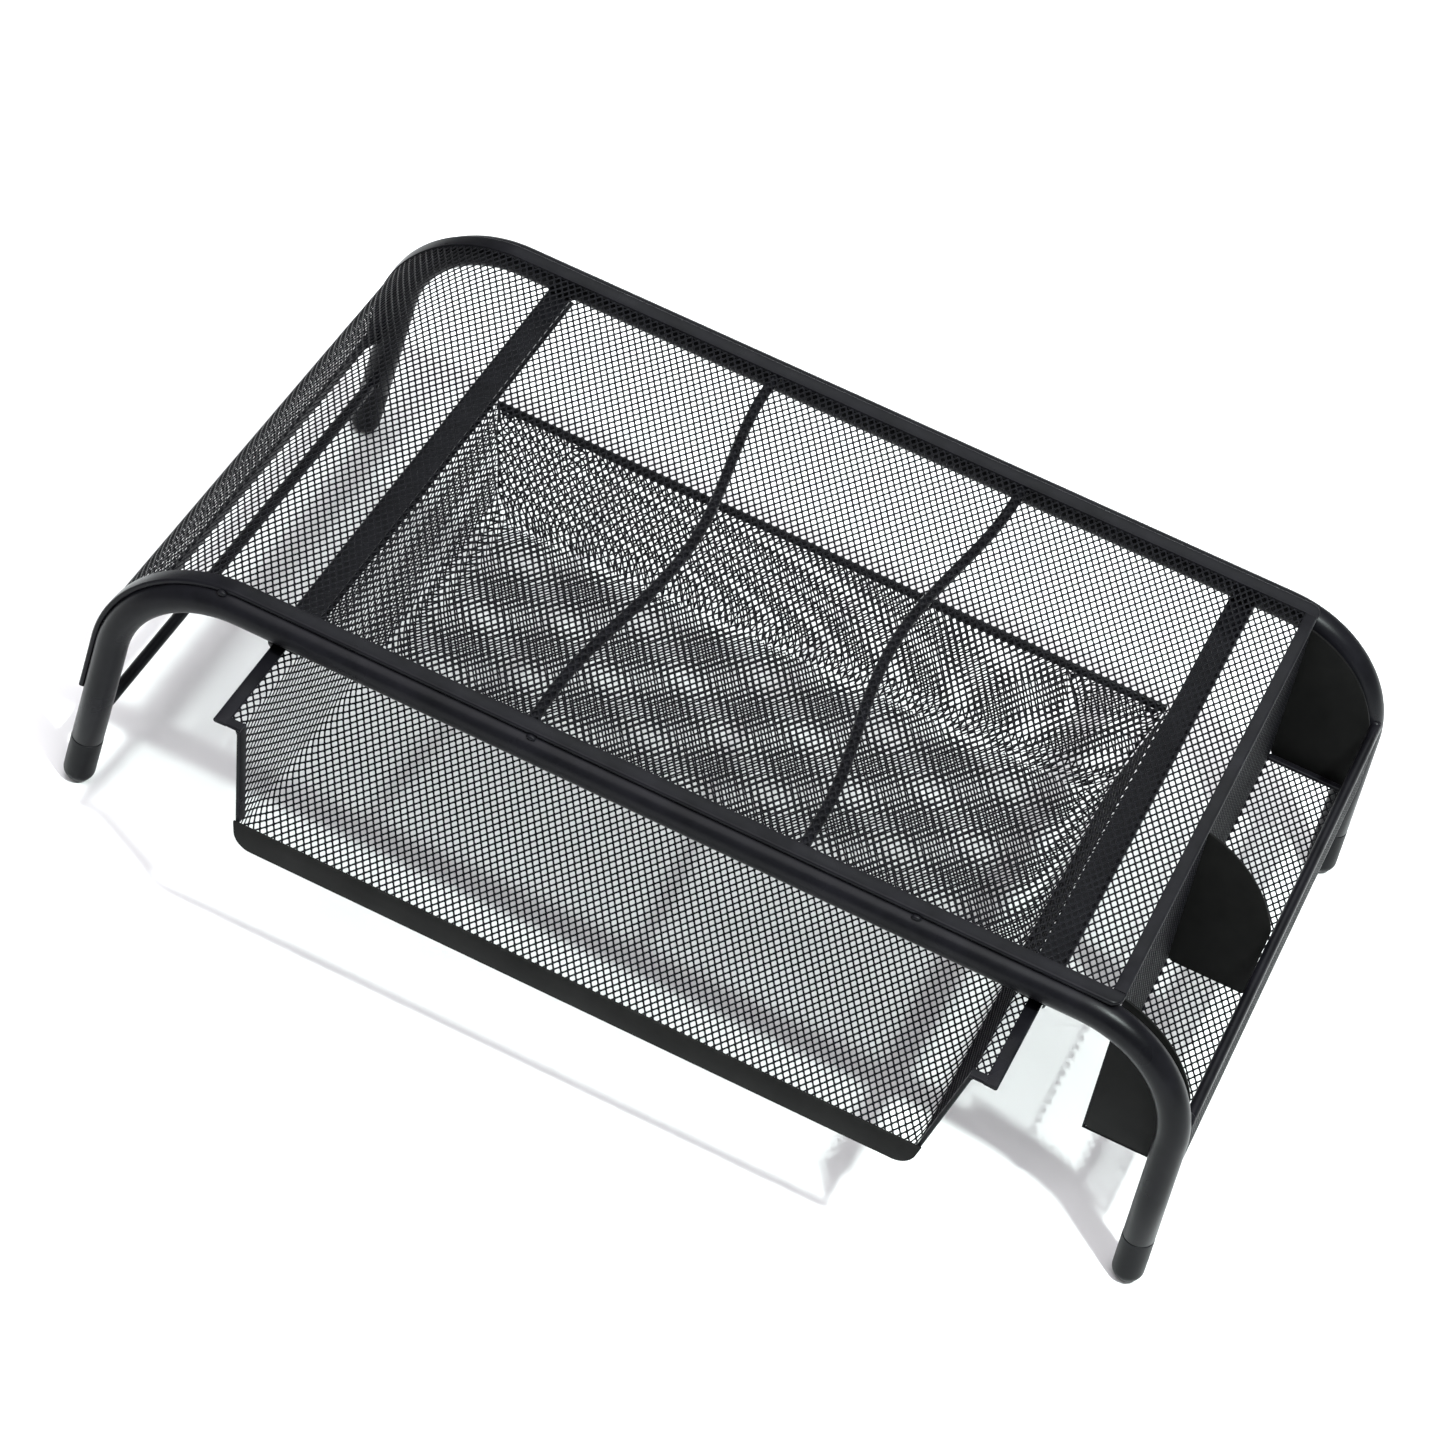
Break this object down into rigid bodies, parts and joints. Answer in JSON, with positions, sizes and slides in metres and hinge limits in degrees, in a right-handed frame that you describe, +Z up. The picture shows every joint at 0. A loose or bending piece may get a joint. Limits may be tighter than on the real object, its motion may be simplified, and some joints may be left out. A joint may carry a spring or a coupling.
{
  "type": "mesh desk riser with drawer",
  "caption": "Low black metal-mesh desk riser on bent tube legs, with a pull-out mesh drawer below and an open mesh caddy along its right side.",
  "frame": {"origin": "middle of the footprint on the desk with the drawer standing 50 mm out of its closed place", "axes": "+X along the width towards the side caddy, +Y from the drawer front to the rear frame, +Z up"},
  "size_m": [0.514, 0.3464, 0.1445],
  "materials": {
    "powder_coated_steel": "satin black powder coat",
    "mesh_sheet": "satin black powder coat on expanded mesh",
    "flat_black_plate": "matt black powder coat",
    "foot_plastic": "satin black"
  },
  "bodies": {
    "stand": {"front_frame_tube": "powder_coated_steel", "rear_frame_tube": "powder_coated_steel", "top_edge_strip_front": "powder_coated_steel", "top_edge_strip_rear": "powder_coated_steel", "top_edge_strip_right": "powder_coated_steel", "side_edge_strip_left": "powder_coated_steel", "rib_rod_left": "powder_coated_steel", "rib_rod_right": "powder_coated_steel", "side_stretcher_rod": "powder_coated_steel", "drawer_rail_left": "powder_coated_steel", "drawer_rail_right": "powder_coated_steel", "caddy_rim_rod": "powder_coated_steel", "caddy_floor_strip_front": "powder_coated_steel", "caddy_floor_strip_rear": "powder_coated_steel", "top_mesh_panel": "mesh_sheet", "caddy_inner_wall_mesh": "mesh_sheet", "caddy_outer_wall_mesh": "mesh_sheet", "caddy_floor_mesh": "mesh_sheet", "caddy_plate_front": "flat_black_plate", "caddy_plate_middle": "flat_black_plate", "caddy_plate_rear": "flat_black_plate", "foot_cap_front_left": "foot_plastic", "foot_cap_front_right": "foot_plastic", "foot_cap_rear_left": "foot_plastic", "foot_cap_rear_right": "foot_plastic"},
    "drawer": {"drawer_flange_strip_left": "powder_coated_steel", "drawer_flange_strip_right": "powder_coated_steel", "drawer_wall_strip_left": "powder_coated_steel", "drawer_wall_strip_right": "powder_coated_steel", "drawer_rear_rim": "powder_coated_steel", "drawer_basket_mesh": "mesh_sheet", "drawer_rear_mesh": "mesh_sheet", "drawer_front_lip": "flat_black_plate"}
  },
  "joints": [
    {"name": "drawer_slide", "type": "slide", "parent": "stand", "child": "drawer", "axis": [0, -1, 0], "range_m": [-0.05, 0.13]}
  ]
}
